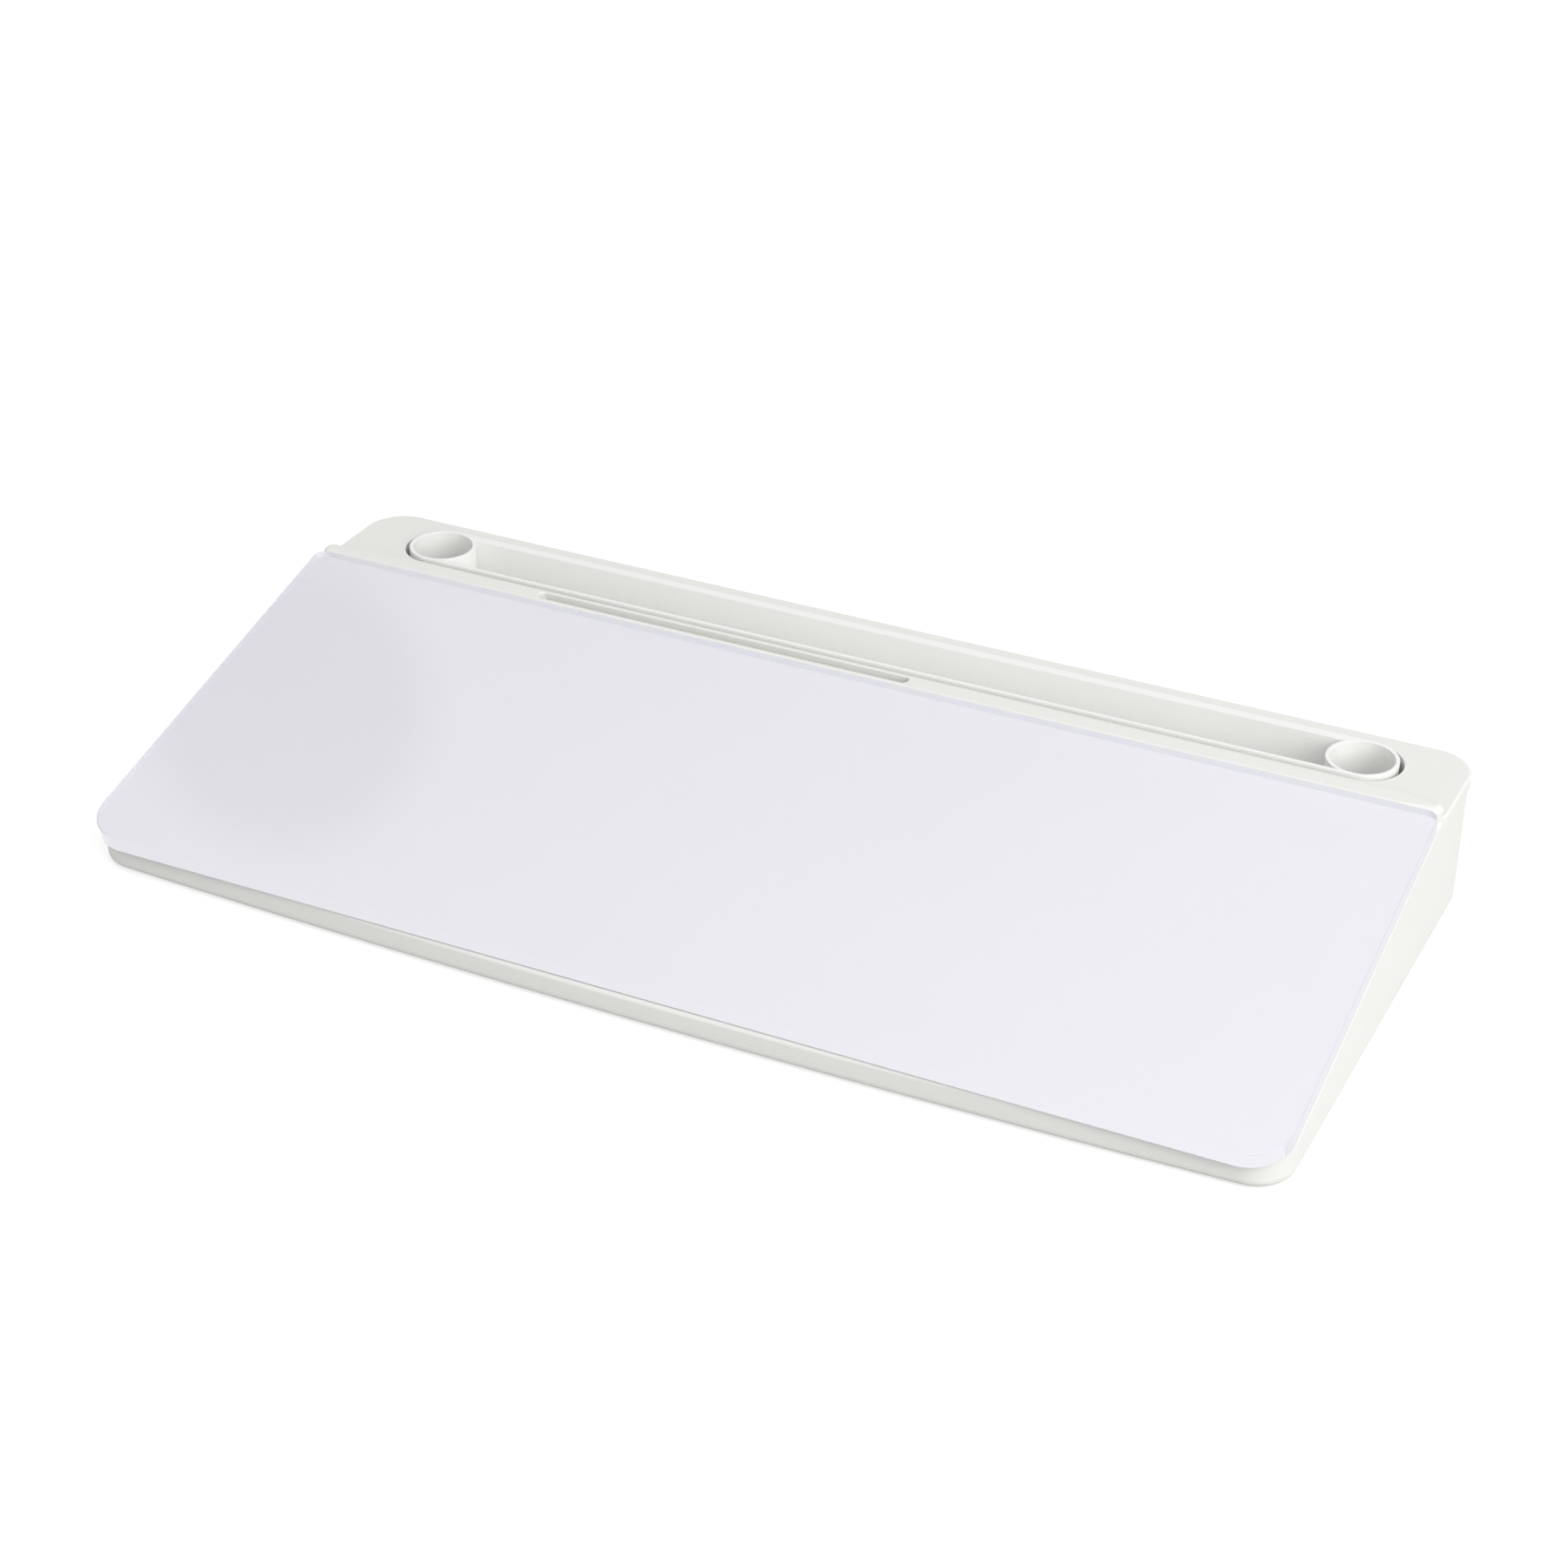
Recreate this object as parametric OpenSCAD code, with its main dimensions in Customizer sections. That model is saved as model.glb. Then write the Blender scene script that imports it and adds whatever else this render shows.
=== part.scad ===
// Desktop glass whiteboard: a wedge-shaped plastic body with a sloped glass
// writing panel, a card slot behind the glass and a lift-out pen tray.
// Millimetres. X runs across, Y from the front to the rear and Z up.
// The origin is the middle of the footprint, at table level.

/* [Glass] */
// Width of the glass panel
glass_w = 438.4; // [360:0.2:540]
// Length of the glass panel up the slope
glass_d = 163.2; // [135:0.2:200]
// Thickness of the glass panel
glass_t = 6; // [4:0.5:8]
// Radius of the two front corners of the glass
glass_front_r = 15; // [12:1:25]
// Radius of the two rear corners of the glass
glass_rear_r = 4.5; // [2:0.5:10]
// Slope of the writing surface, in degrees
slope = 14; // [10:0.5:16]
// Height of the lower front edge of the glass above the table
glass_front_z = 11; // [10.5:0.1:16]
// Thickness of the white coating on the back of the glass
coating_t = 0.2; // [0.1:0.1:0.5]
// Clear border between the coating and the edge of the glass
coating_border = 0.5; // [0.3:0.1:3]

/* [Tape] */
// Width of a tape strip
tape_w = 12; // [8:1:20]
// Thickness of a tape strip
tape_t = 0.5; // [0.4:0.1:1.5]
// Distance from the edge of the coating to the tape
tape_border = 4; // [4:0.5:12]
// Gap between a tape strip and the one that it meets
tape_gap = 2; // [0.5:0.5:10]

/* [Body] */
// How far the side walls stand out past the ends of the glass
side_out = 0.1; // [0:0.1:2]
// How far the middle of the front wall stands out in front of the underside of the glass
front_out = 0.8; // [0:0.1:1.2]
// How far the front wall bows out between its two corners
front_bow = 4.4; // [0.5:0.1:6]
// Wall thickness of the upper shell
wall = 2.4; // [1.8:0.1:3]
// Radius of the two front corners of the body
body_front_r = 14; // [12:1:26]
// Radius of the two rear corners of the body
body_rear_r = 14.5; // [8:0.5:20]
// How far the foot of the rear wall leans in
rear_lean = 1.1; // [0:0.1:3]

/* [Rail and card slot] */
// Gap between the glass and the rail behind it
rail_gap = 0.3; // [0.2:0.1:1]
// Depth of the top of the rail from front to rear
rail_d = 7.5; // [7:0.1:10]
// Height of the rail above the deck
rail_h = 5.4; // [2:0.1:7]
// How far the ends of the rail stand in from the ends of the glass
rail_tuck = 0.2; // [0:0.1:2]
// Radius of the corners of the rail
rail_end_r = 3; // [1:0.5:3.5]
// Width of the card slot
slot_w = 4.6; // [4.2:0.1:4.8]
// Wall between the card slot and the rear of the rail
slot_back = 1; // [0.8:0.1:1.5]
// Length of the card slot
slot_l = 150; // [80:1:180]
// Depth of the card slot
slot_depth = 8; // [5:0.5:10]
// Place of the middle of the card slot across the board
slot_x = -51; // [-80:0.5:80]
// Wall thickness around and under the card slot
slot_wall = 1.6; // [1.2:0.1:2.5]

/* [Deck] */
// Height of the edge band round the deck
band_h = 5; // [3:0.5:8]
// How far the edge band stands out from the walls below it
band_out = 0.5; // [0.3:0.1:2]
// Deck between the rail and the tray opening
front_land = 9.8; // [4:0.1:15]
// Deck between the tray opening and the rear edge
rear_land = 6.5; // [5:0.1:15]
// Deck between the tray opening and the side walls
side_land = 21.6; // [12:0.1:40]
// Depth of the collar that hangs round the tray opening
collar_h = 7; // [4:0.5:12]
// Thickness of the collar
collar_t = 2.4; // [1.2:0.1:2.8]

/* [Pen tray] */
// Inner diameter of the two marker cups
cup_d = 22.8; // [16:0.2:28]
// Depth of the marker cups
cup_depth = 32; // [24:1:33]
// Wall of the tray and of its cups
tray_wall = 1.4; // [1:0.1:2.5]
// Thickness of the floors of the tray
tray_floor = 1.6; // [1.2:0.1:2.5]
// Depth of the long trough
trough_depth = 21; // [12:1:22]
// Width of the rim behind the trough
trough_rim = 3.7; // [2:0.1:6]
// Thickness of the rim
rim_t = 2; // [1.5:0.1:3]
// How far the rim stands above the deck
tray_proud = 1.2; // [0:0.1:3]
// Gap between the tray and its opening in the deck
tray_gap = 0.7; // [0.4:0.1:1.5]
// Extra gap at each end of the tray
tray_end_gap = 1; // [0:0.1:3]
// Gap between the tray and the seats that it rests on
tray_seat_gap = 0.2; // [0.1:0.1:0.3]

/* [Base] */
// Height of the seam between the shell and the base above the table
seam_z = 4.6; // [4:0.1:6]
// Thickness of the floor of the base
floor_t = 2.2; // [2:0.1:3]
// Height of the tongue that rises inside the shell
tongue_h = 2.5; // [1.5:0.1:3]
// Thickness of the tongue
tongue_t = 1.4; // [1.2:0.1:2]
// Gap between the tongue and the shell
tongue_gap = 0.15; // [0.1:0.05:0.3]
// Distance between the stiffening ribs under the glass
rib_pitch = 62; // [40:1:90]
// Thickness of a stiffening rib
rib_t = 1.6; // [1.2:0.1:2.5]
// Height of a stiffening rib
rib_h = 8; // [4:0.5:15]

/* [Feet] */
// Diameter of a rubber foot
foot_d = 12; // [8:0.5:16]
// How far the feet stand out below the base
foot_proud = 0.8; // [0.5:0.1:1.2]
// Depth of the recess that holds a foot
foot_recess = 1; // [0.6:0.1:1.2]
// Gap round a foot in its recess
foot_gap = 0.3; // [0.2:0.1:0.5]
// Distance from the walls to the middle of a corner foot
foot_inset = 30; // [26:1:50]

/* [Screws] */
// Outer diameter of the screw thread
screw_d = 2.9; // [2.2:0.1:3.5]
// Length of a screw below its head
screw_l = 7; // [6:0.5:8]
// Diameter of a screw head
head_d = 5.6; // [4.5:0.1:6.5]
// Height of a screw head
head_h = 1.9; // [1.4:0.1:2.2]
// Diameter of a screw boss
boss_d = 8.6; // [8:0.1:10]
// Distance from the side walls to the outer screws
screw_inset = 30; // [24:1:60]
// Distance from the front wall to the front row of screws
screw_front = 18; // [16:1:30]
// Distance from the rail forward to the rear row of screws
screw_rear = 8; // [6:1:20]

/* [Hidden] */
$fn = 96;
// How far a cut runs past the face that it opens, and how far a shape
// reaches into the one that it is part of
PAST = 1;
// Steps round the full circle of the front bow
BOW_STEPS = 2880;
// Radius of a plan corner that lies inside another shape
small_r = 0.5;

// Outlines in plan
glass_lean = glass_t * sin(slope);
total_d = max(glass_lean, front_out) + glass_d * cos(slope) + rail_gap - glass_lean + rail_d
    + front_land + cup_d + 2 * tray_wall + 2 * tray_gap + rear_land;
glass_y = -total_d / 2 + max(glass_lean, front_out);
front_y = glass_y - front_out;
rail_y = glass_y + glass_d * cos(slope) + rail_gap;
deck_y = rail_y - glass_lean + rail_d;
rear_y = total_d / 2;
wall_rear_y = rear_y - band_out;
body_w = glass_w + 2 * side_out;
bow_x = body_w / 2 - body_front_r;
bow_r = (bow_x ^ 2 + front_bow ^ 2) / (2 * front_bow);
deck_w = body_w + 2 * band_out;
rail_w = glass_w - 2 * rail_tuck;

// Heights
base_z = foot_proud;
rail_z = glass_front_z + glass_d * sin(slope) + glass_t * cos(slope);
deck_z = rail_z - rail_h;
rim_z = deck_z + tray_proud;
bed_drop = coating_t + tape_t;

// Pen tray
tray_w = cup_d + 2 * tray_wall;
tray_y = deck_y + front_land + tray_gap + tray_w / 2;
cup_x = body_w / 2 - side_land - tray_end_gap - tray_gap - tray_w / 2;
open_x = cup_x + tray_end_gap;
trough_w = tray_w - tray_wall - trough_rim;
trough_y = tray_y - tray_w / 2 + tray_wall + trough_w / 2;
cup_foot_z = rim_z - cup_depth - tray_floor;
trough_foot_z = rim_z - trough_depth - tray_floor;

// Card slot
slot_y = deck_y - slot_back - slot_w / 2;
pocket_z = rail_z - slot_depth - slot_wall;

// Screws, whose heads lie a little below the underside of the base
shank_gap = 0.05;
head_gap = 0.3;
tip_gap = 0.5;
head_recess = head_h + 0.3;
head_seat_t = 1.6;
head_seat_z = base_z + head_recess;
boss_z = head_seat_z + head_seat_t;
cross_w = 0.9;
cross_l = 3;
cross_depth = 1;
screw_x = body_w / 2 - screw_inset;
screw_rows = [front_y + screw_front, rail_y - screw_rear];
screw_columns = [-1, -1 / 3, 1 / 3, 1];

// Feet
foot_rows = [front_y + foot_inset, wall_rear_y - foot_inset];
foot_x = body_w / 2 - foot_inset;
foot_h = foot_recess + foot_proud;

// Ribs under the glass, between the front corners, which start behind the
// tongue of the base
rib_count = floor((body_w / 2 - body_front_r - rib_t) / rib_pitch);
rib_gap = 0.4;
rib_y0 = front_y + front_bow + wall + tongue_gap + tongue_t + rib_gap;
rib_y1 = screw_rows[1] + boss_d / 2;

// Seats of the pen tray on the base
seat_x = 0.4 * cup_x;
seat_t = 2;
cup_seat_d = cup_d - 2 * seat_t;

// Tape
tape_edge = coating_border + tape_border;
tape_side_x = glass_w / 2 - tape_edge - tape_w;
tape_front_x = glass_w / 2 - glass_front_r - tape_border;

// Height of the bed that carries the glass, at a distance y along the board
function bed_z(y) = glass_front_z + (y - glass_y) * tan(slope) - bed_drop / cos(slope);
// Distance along the board at which the underside of the bed meets the deck
bed_end_y = glass_y
    + (deck_z - wall - glass_front_z + (bed_drop + wall) / cos(slope)) / tan(slope);

// Rectangle with round corners, its front pair and rear pair of different radii
module plan(w, y0, y1, front_r, rear_r) {
    polygon([
        [-w / 2 + front_r, y0], [w / 2 - front_r, y0],
        [w / 2, y0 + front_r], [w / 2, y1 - rear_r],
        [w / 2 - rear_r, y1], [-w / 2 + rear_r, y1],
        [-w / 2, y1 - rear_r], [-w / 2, y0 + front_r]
    ]);
    for (side = [-1, 1]) {
        translate([side * (w / 2 - front_r), y0 + front_r]) circle(front_r);
        translate([side * (w / 2 - rear_r), y1 - rear_r]) circle(rear_r);
    }
}

// Bar with two round ends, centred on the origin
module stadium(half_l, r) {
    square([2 * half_l, 2 * r], center = true);
    for (side = [-1, 1]) translate([side * half_l, 0]) circle(r);
}

// Outline of the body at a rear edge, moved in by a distance: the corners
// and the straight sides, and the bow of the front between the corners
module bowed_plan(rear, inset) {
    corner_y = front_y + bow_r - sqrt((bow_r - inset) ^ 2 - bow_x ^ 2);
    plan(body_w - 2 * inset, corner_y, rear - inset, body_front_r - inset, body_rear_r - inset);
    intersection() {
        translate([0, front_y + bow_r]) circle(bow_r - inset, $fn = BOW_STEPS);
        translate([-bow_x, front_y]) square([2 * bow_x, body_front_r]);
    }
}

// Outline of the body walls
module body_plan(inset = 0) {
    bowed_plan(wall_rear_y, inset);
}

// Sets its children on the slope, with z = 0 on the underside of the glass
module on_slope() {
    translate([0, glass_y, glass_front_z]) rotate([slope, 0, 0]) children();
}

// Extrudes a side profile, drawn as [y, z], across a width
module across(w) {
    rotate([90, 0, 90]) linear_extrude(w, center = true) children();
}

module at_screws() {
    for (y = screw_rows, c = screw_columns) translate([c * screw_x, y, 0]) children();
}

module glass_panel() {
    color("aliceblue") on_slope() linear_extrude(glass_t)
        plan(glass_w, 0, glass_d, glass_front_r, glass_rear_r);
}

module back_coating() {
    color("white") on_slope() translate([0, 0, -coating_t]) linear_extrude(coating_t)
        plan(glass_w - 2 * coating_border, coating_border, glass_d - coating_border,
            glass_front_r - coating_border, max(glass_rear_r - coating_border, small_r));
}

// Five strips of double-sided foam tape between the coating and the bed
module tape_strip(x0, x1, y0, y1) {
    color("gainsboro") on_slope() translate([x0, y0, -bed_drop])
        cube([x1 - x0, y1 - y0, tape_t]);
}

module tape_front() {
    tape_strip(-tape_front_x, tape_front_x, tape_edge, tape_edge + tape_w);
}

module tape_rear() {
    tape_strip(-tape_side_x - tape_w, tape_side_x + tape_w,
        glass_d - tape_edge - tape_w, glass_d - tape_edge);
}

module tape_side(x0) {
    tape_strip(x0, x0 + tape_w, tape_edge + tape_w + tape_gap,
        glass_d - tape_edge - tape_w - tape_gap);
}

module tape_left() { tape_side(-tape_side_x - tape_w); }
module tape_right() { tape_side(tape_side_x); }

module tape_middle() {
    tape_strip(-tape_side_x + tape_gap, tape_side_x - tape_gap,
        (glass_d - tape_w) / 2, (glass_d + tape_w) / 2);
}

// Side profile of the walls and the bed, down to the seam
module shell_profile() {
    polygon([
        [front_y, seam_z], [front_y, bed_z(front_y)],
        [rail_y, bed_z(rail_y)], [rail_y, deck_z],
        [wall_rear_y, deck_z], [wall_rear_y, deck_z - band_h],
        [wall_rear_y - rear_lean, seam_z]
    ]);
}

// The hollow under the bed and the deck
module hollow_profile() {
    under_bed = wall / cos(slope);
    polygon([
        [front_y + wall, seam_z - PAST],
        [front_y + wall, bed_z(front_y + wall) - under_bed],
        [bed_end_y, deck_z - wall],
        [wall_rear_y - wall, deck_z - wall],
        [wall_rear_y - wall, deck_z - band_h],
        [wall_rear_y - rear_lean - wall, seam_z],
        [wall_rear_y - rear_lean - wall, seam_z - PAST]
    ]);
}

// Stiffening ribs that hang from the bed and stop clear of the base
module ribs() {
    for (i = [-rib_count:rib_count]) translate([i * rib_pitch, 0, 0]) across(rib_t)
        intersection() {
            polygon([
                [rib_y0, bed_z(rib_y0) - PAST], [rib_y0, bed_z(rib_y0) - rib_h],
                [rib_y1, bed_z(rib_y1) - rib_h], [rib_y1, bed_z(rib_y1) - PAST]
            ]);
            translate([rib_y0, boss_z + rib_gap]) square([total_d, deck_z]);
        }
}

// The rail, whose front face leans with the rear edge of the glass
module rail() {
    intersection() {
        translate([0, 0, deck_z - band_h]) linear_extrude(rail_z - deck_z + band_h)
            plan(rail_w, rail_y - glass_lean, deck_y, rail_end_r, rail_end_r);
        across(body_w) polygon([
            [rail_y, 0], [rail_y, glass_front_z + glass_d * sin(slope)],
            [rail_y - glass_lean, rail_z], [deck_y, rail_z], [deck_y, 0]
        ]);
    }
}

module upper_shell() {
    color("whitesmoke") difference() {
        union() {
            difference() {
                intersection() {
                    across(body_w) shell_profile();
                    linear_extrude(rail_z) body_plan();
                }
                intersection() {
                    across(body_w) hollow_profile();
                    linear_extrude(rail_z) body_plan(wall);
                }
            }
            ribs();
            // Edge band round the deck, and the rail in front of it
            translate([0, 0, deck_z - band_h]) linear_extrude(band_h) difference() {
                plan(deck_w, deck_y - PAST, rear_y, small_r, body_rear_r + band_out);
                plan(body_w - wall, deck_y - 2 * PAST, wall_rear_y - wall / 2, small_r,
                    body_rear_r - wall / 2);
            }
            difference() {
                rail();
                translate([0, 0, deck_z - band_h]) linear_extrude(band_h - wall)
                    square([body_w - 2 * wall, 2 * rear_y], center = true);
            }
            // Pocket of the card slot, below the bed and the deck
            translate([slot_x, slot_y, pocket_z]) linear_extrude(deck_z - wall - pocket_z)
                stadium((slot_l - slot_w) / 2, slot_w / 2 + slot_wall);
            // Collar of the tray opening
            translate([0, tray_y, deck_z - wall - collar_h]) linear_extrude(collar_h + PAST)
                stadium(open_x, tray_w / 2 + tray_gap + collar_t);
            // Screw bosses
            intersection() {
                at_screws() translate([0, 0, boss_z]) cylinder(d = boss_d, h = deck_z);
                across(body_w) polygon([
                    [front_y, 0], [front_y, bed_z(front_y) - PAST],
                    [rail_y, bed_z(rail_y) - PAST], [rail_y, 0]
                ]);
            }
        }
        // Card slot
        translate([slot_x, slot_y, rail_z - slot_depth]) linear_extrude(slot_depth + PAST)
            stadium((slot_l - slot_w) / 2, slot_w / 2);
        // Tray opening
        translate([0, tray_y, deck_z - wall - collar_h - PAST])
            linear_extrude(wall + collar_h + 2 * PAST)
                stadium(open_x, tray_w / 2 + tray_gap);
        // Pilot holes of the screws
        at_screws() translate([0, 0, boss_z - PAST]) cylinder(d = screw_d + 2 * shank_gap,
            h = head_seat_z + screw_l + tip_gap - boss_z + PAST);
    }
}

// A ring of material under a cup, or a cross rib under the trough
module tray_seats() {
    for (side = [-1, 1]) {
        translate([side * cup_x, tray_y, base_z])
            difference() {
                cylinder(d = cup_seat_d, h = cup_foot_z - tray_seat_gap - base_z);
                translate([0, 0, floor_t]) cylinder(d = cup_seat_d - 2 * seat_t, h = deck_z);
            }
        translate([side * seat_x - seat_t / 2, trough_y - trough_w / 2, base_z])
            cube([seat_t, trough_w, trough_foot_z - tray_seat_gap - base_z]);
    }
}

module base_cover() {
    color("gainsboro") difference() {
        union() {
            translate([0, 0, base_z]) linear_extrude(floor_t) base_plan();
            // Edge up to the seam, and the tongue that goes on inside the shell
            translate([0, 0, base_z]) linear_extrude(seam_z - base_z) difference() {
                base_plan();
                base_plan(wall + tongue_gap + tongue_t);
            }
            translate([0, 0, base_z]) linear_extrude(seam_z + tongue_h - base_z) difference() {
                base_plan(wall + tongue_gap);
                base_plan(wall + tongue_gap + tongue_t);
            }
            at_screws() translate([0, 0, base_z]) cylinder(d = boss_d, h = boss_z - base_z);
            tray_seats();
        }
        at_screws() {
            translate([0, 0, base_z - PAST])
                cylinder(d = head_d + 2 * head_gap, h = head_recess + PAST);
            cylinder(d = screw_d + 2 * shank_gap, h = boss_z + PAST);
        }
        for (y = foot_rows, c = [-1, 0, 1]) translate([c * foot_x, y, base_z - PAST])
            cylinder(d = foot_d + 2 * foot_gap, h = foot_recess + PAST);
    }
}

// Outline of the base: the foot of the shell's walls
module base_plan(inset = 0) {
    bowed_plan(wall_rear_y - rear_lean, inset);
}

module pen_tray() {
    color("whitesmoke") difference() {
        union() {
            translate([0, tray_y, rim_z - rim_t]) linear_extrude(rim_t)
                stadium(cup_x, tray_w / 2);
            for (side = [-1, 1]) translate([side * cup_x, tray_y, cup_foot_z])
                cylinder(d = tray_w, h = rim_z - cup_foot_z);
            // Outside of the trough
            translate([-cup_x, trough_y - trough_w / 2 - tray_wall, trough_foot_z])
                cube([2 * cup_x, trough_w + 2 * tray_wall, rim_z - trough_foot_z]);
        }
        // Inside of the trough, which ends at the round walls of the cups
        translate([0, 0, rim_z - trough_depth]) linear_extrude(trough_depth + PAST) difference() {
            translate([-cup_x, trough_y - trough_w / 2]) square([2 * cup_x, trough_w]);
            for (side = [-1, 1]) translate([side * cup_x, tray_y]) circle(d = tray_w);
        }
        for (side = [-1, 1]) translate([side * cup_x, tray_y, rim_z - cup_depth])
            cylinder(d = cup_d, h = cup_depth + PAST);
    }
}

module foot(column, row) {
    color("dimgray") translate([column * foot_x, foot_rows[row], 0])
        cylinder(d = foot_d, h = foot_h);
}

module foot_front_left() { foot(-1, 0); }
module foot_front_middle() { foot(0, 0); }
module foot_front_right() { foot(1, 0); }
module foot_rear_left() { foot(-1, 1); }
module foot_rear_middle() { foot(0, 1); }
module foot_rear_right() { foot(1, 1); }

// Pan-head screws with a cross recess, which hold the base to the bosses
module base_screws() {
    color("silver") at_screws() difference() {
        union() {
            translate([0, 0, head_seat_z - head_h]) cylinder(d = head_d, h = head_h);
            translate([0, 0, head_seat_z - PAST]) cylinder(d = screw_d, h = screw_l + PAST);
        }
        for (a = [0, 90]) rotate([0, 0, a])
            translate([-cross_l / 2, -cross_w / 2, head_seat_z - head_h - PAST])
                cube([cross_l, cross_w, cross_depth + PAST]);
    }
}

glass_panel();
back_coating();
tape_front();
tape_rear();
tape_left();
tape_right();
tape_middle();
upper_shell();
base_cover();
pen_tray();
foot_front_left();
foot_front_middle();
foot_front_right();
foot_rear_left();
foot_rear_middle();
foot_rear_right();
base_screws();
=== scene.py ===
import math
import bmesh
import bpy
from mathutils import Matrix, Vector


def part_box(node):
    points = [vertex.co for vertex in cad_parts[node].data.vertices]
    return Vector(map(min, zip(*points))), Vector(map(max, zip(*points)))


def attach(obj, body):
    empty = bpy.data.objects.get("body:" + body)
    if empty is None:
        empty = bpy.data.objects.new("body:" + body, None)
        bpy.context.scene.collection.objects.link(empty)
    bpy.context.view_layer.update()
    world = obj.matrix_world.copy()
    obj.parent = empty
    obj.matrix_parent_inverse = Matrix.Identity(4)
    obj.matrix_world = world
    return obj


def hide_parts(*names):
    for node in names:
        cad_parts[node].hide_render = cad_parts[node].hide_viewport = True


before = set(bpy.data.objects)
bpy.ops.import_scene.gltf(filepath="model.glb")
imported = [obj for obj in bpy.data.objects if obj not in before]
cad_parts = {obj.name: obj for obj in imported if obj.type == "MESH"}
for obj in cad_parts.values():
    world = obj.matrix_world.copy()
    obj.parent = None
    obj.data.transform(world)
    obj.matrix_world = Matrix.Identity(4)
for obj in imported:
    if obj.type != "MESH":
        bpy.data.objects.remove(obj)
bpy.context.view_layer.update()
MM = 0.001


# --- Glass panel -------------------------------------------------------------
# A pane of clear toughened glass that carries the writing surface. Its front
# edge is polished and its sides and rear are ground satin, all with a narrow
# arris. It lies on the sloped bed of the case.
slope = math.radians(14)
glass_thickness = 6 * MM
glass_front_radius = 15 * MM
glass_rear_radius = 4.5 * MM
arris = 0.5 * MM
lower_arris = 0.02 * MM

glass_low, glass_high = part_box("glass_panel")
glass_foot = Vector((0, glass_low.y + glass_thickness * math.sin(slope), glass_low.z))
glass_length = (glass_high.y - glass_foot.y) / math.cos(slope)


def rounded_outline(half, front, rear, front_radius, rear_radius, steps=14):
    """(x, y, outward x, outward y) round a rectangle with round corners, from the front right one on."""
    corners = [
        (half - front_radius, front + front_radius, front_radius, -90),
        (half - rear_radius, rear - rear_radius, rear_radius, 0),
        (rear_radius - half, rear - rear_radius, rear_radius, 90),
        (front_radius - half, front + front_radius, front_radius, 180),
    ]
    points = []
    for x, y, radius, start in corners:
        for step in range(steps + 1):
            turn = math.radians(start + 90 * step / steps)
            out_x, out_y = math.cos(turn), math.sin(turn)
            points.append((x + radius * out_x, y + radius * out_y, out_x, out_y))
    return points


def lofted(name, rings):
    """A closed mesh through rings of points, with a flat face at each end."""
    shape = bmesh.new()
    loops = [[shape.verts.new(point) for point in points] for points in rings]
    for low, high in zip(loops, loops[1:]):
        for i in range(len(low)):
            j = (i + 1) % len(low)
            shape.faces.new((low[i], low[j], high[j], high[i]))
    shape.faces.new(loops[0][::-1])
    shape.faces.new(loops[-1])
    bmesh.ops.recalc_face_normals(shape, faces=shape.faces)
    mesh = bpy.data.meshes.new(name)
    shape.to_mesh(mesh)
    shape.free()
    piece = bpy.data.objects.new(name, mesh)
    bpy.context.scene.collection.objects.link(piece)
    return piece


def on_slope(outline, inset, height):
    """An outline moved in by the inset, on the tilted plane that lies height above the underside."""
    along = Vector((0, math.cos(slope), math.sin(slope)))
    up = Vector((0, -math.sin(slope), math.cos(slope)))
    return [glass_foot + Vector((x - inset * out_x, 0, 0)) + (y - inset * out_y) * along + height * up
            for x, y, out_x, out_y in outline]


def rounding_steps(radius, segments):
    """(inset, drop) pairs of an edge that turns from upright to flat, going up."""
    turns = [math.radians(90 * s / segments) for s in range(segments + 1)]
    return [(radius * (1 - math.cos(turn)), radius * (1 - math.sin(turn))) for turn in turns]


def smooth_shading(piece, angle=35):
    """Smooth faces that meet at less than the angle, with flats kept flat."""
    for face in piece.data.polygons:
        face.use_smooth = True
    piece.data.set_sharp_from_angle(angle=math.radians(angle))
    weighted = piece.modifiers.new("flats", "WEIGHTED_NORMAL")
    weighted.keep_sharp = True
    weighted.weight = 100
    made_plain(piece)


def made_plain(piece):
    """Turns a piece with modifiers into the plain mesh that they give."""
    result = bpy.data.meshes.new_from_object(piece.evaluated_get(bpy.context.evaluated_depsgraph_get()))
    piece.modifiers.clear()
    piece.data = result
    result.name = piece.name


def node(tree, kind, **settings):
    """Adds a node; a setting that names an input is given to that input."""
    made = tree.nodes.new(kind)
    for key, value in settings.items():
        socket = made.inputs.get(key.replace("_", " "))
        if socket is None:
            setattr(made, key, value)
        elif isinstance(value, bpy.types.NodeSocket):
            tree.links.new(value, socket)
        else:
            socket.default_value = value
    return made


def new_material(name):
    """A material with an empty node tree, and that tree."""
    material = bpy.data.materials.new(name)
    material.use_nodes = True
    material.node_tree.nodes.clear()
    return material, material.node_tree


def lit_through(tree, surface):
    """Ends a glass material so that lamp light reaches what lies behind it."""
    path = node(tree, "ShaderNodeLightPath")
    passes = node(tree, "ShaderNodeMath", operation="MAXIMUM")
    tree.links.new(path.outputs["Is Shadow Ray"], passes.inputs[0])
    tree.links.new(path.outputs["Is Diffuse Ray"], passes.inputs[1])
    through = node(tree, "ShaderNodeBsdfTransparent", Color=(0.99, 0.995, 1.0, 1))
    mix = node(tree, "ShaderNodeMixShader", Fac=passes.outputs[0])
    tree.links.new(surface.outputs[0], mix.inputs[1])
    tree.links.new(through.outputs[0], mix.inputs[2])
    node(tree, "ShaderNodeOutputMaterial", Surface=mix.outputs[0])


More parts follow.
